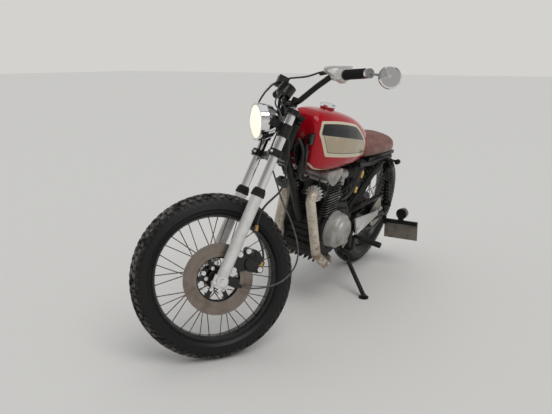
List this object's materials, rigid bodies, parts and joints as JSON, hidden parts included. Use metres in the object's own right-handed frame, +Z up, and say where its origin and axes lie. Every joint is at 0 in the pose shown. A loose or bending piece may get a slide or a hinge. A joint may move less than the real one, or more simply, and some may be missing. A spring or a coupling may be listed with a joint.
{
  "type": "cafe racer motorcycle",
  "caption": "Air-cooled parallel-twin cafe racer motorcycle leaning on its side stand, red tank, brown solo seat, spoked wheels, steering to full lock.",
  "frame": {"origin": "on the ground, under the middle of the parked machine", "axes": "+X forward along the machine, +Y to the rider's left, +Z up"},
  "size_m": [1.9713, 0.9084, 1.1235],
  "materials": {
    "tyre_rubber": "worn matt, light road dust",
    "rim_black": "satin black paint",
    "disc_steel": "circular brushed, browned",
    "black_metal": "satin black paint, scuffed",
    "cast_silver": "satin silver, stained",
    "chrome": "polished",
    "black_rubber": "matt",
    "lens_glass": "clear fluted",
    "tank_red": "gloss deep red",
    "seat_leather": "reddish brown",
    "engine_black": "satin black, dusty",
    "engine_grey": "sand cast, matt",
    "exhaust_steel": "heat stained",
    "plate_steel": "bare, dull",
    "black_plastic": "matt",
    "lamp_red": "gloss dark red"
  },
  "bodies": {
    "chassis": {"air_filters": "black_plastic", "alternator_cover": "engine_grey", "battery_box": "black_metal", "carburettors": "engine_grey", "clutch_cover": "engine_grey", "crankcase": "engine_black", "cylinder_barrels": "engine_black", "cylinder_head": "engine_black", "drive_chain": "plate_steel", "exhaust_collars": "cast_silver", "exhaust_pipes": "exhaust_steel", "foot_pegs": "black_rubber", "frame": "black_metal", "fuel_tank": "tank_red", "head_cover": "engine_grey", "licence_plate": "plate_steel", "plate_bracket": "black_metal", "rear_axle": "chrome", "rear_hangers": "cast_silver", "rear_indicators": "black_plastic", "seat": "seat_leather", "seat_pan": "black_metal", "shock_absorbers": "black_metal", "shock_springs": "black_metal", "silencer": "exhaust_steel", "swingarm": "black_metal", "tail_lamp": "lamp_red"},
    "steering": {"brake_calliper": "black_metal", "fork_seals": "black_rubber", "fork_sliders": "cast_silver", "fork_tubes": "chrome", "front_axle": "chrome", "grips": "black_rubber", "hand_levers": "cast_silver", "handlebar": "black_metal", "headlight_brackets": "black_metal", "headlight_lens": "lens_glass", "headlight_shell": "chrome", "left_control": "cast_silver", "lower_clamp": "black_metal", "mirror": "chrome", "right_control": "black_metal", "speedometer": "black_plastic", "top_clamp": "black_metal"},
    "front_wheel": {"disc_carrier": "black_metal", "front_disc": "disc_steel", "front_tyre": "tyre_rubber", "front_wheel_laced": "rim_black"},
    "rear_wheel": {"rear_sprocket": "plate_steel", "rear_tyre": "tyre_rubber", "rear_wheel_laced": "rim_black"},
    "side_stand": {"side_stand": "black_metal"},
    "fuel_cap": {"fuel_cap": "chrome"}
  },
  "joints": [
    {"name": "steering_turn", "type": "hinge", "parent": "chassis", "child": "steering", "pos_m": [0.68044, -0.17144, 0.29648], "axis": [-0.4469, 0.1861, 0.875], "range_deg": [0, 84]},
    {"name": "front_wheel_spin", "type": "hinge", "parent": "steering", "child": "front_wheel", "pos_m": [0.71733, -0.20394, 0.32223], "axis": [0.5987, 0.789, 0.138], "continuous": true},
    {"name": "rear_wheel_spin", "type": "hinge", "parent": "chassis", "child": "rear_wheel", "pos_m": [-0.65991, -0.16567, 0.3226], "axis": [0.0002, 0.9781, -0.2079], "continuous": true},
    {"name": "stand_fold", "type": "hinge", "parent": "chassis", "child": "side_stand", "pos_m": [-0.22979, -0.07586, 0.15867], "axis": [-0.0005, 0.7443, 0.6678], "range_deg": [0, 105]},
    {"name": "fuel_cap_turn", "type": "hinge", "parent": "chassis", "child": "fuel_cap", "pos_m": [0.10161, -0.03468, 0.93942], "axis": [-0.0008, 0.2079, 0.9781], "range_deg": [0, 90]}
  ]
}
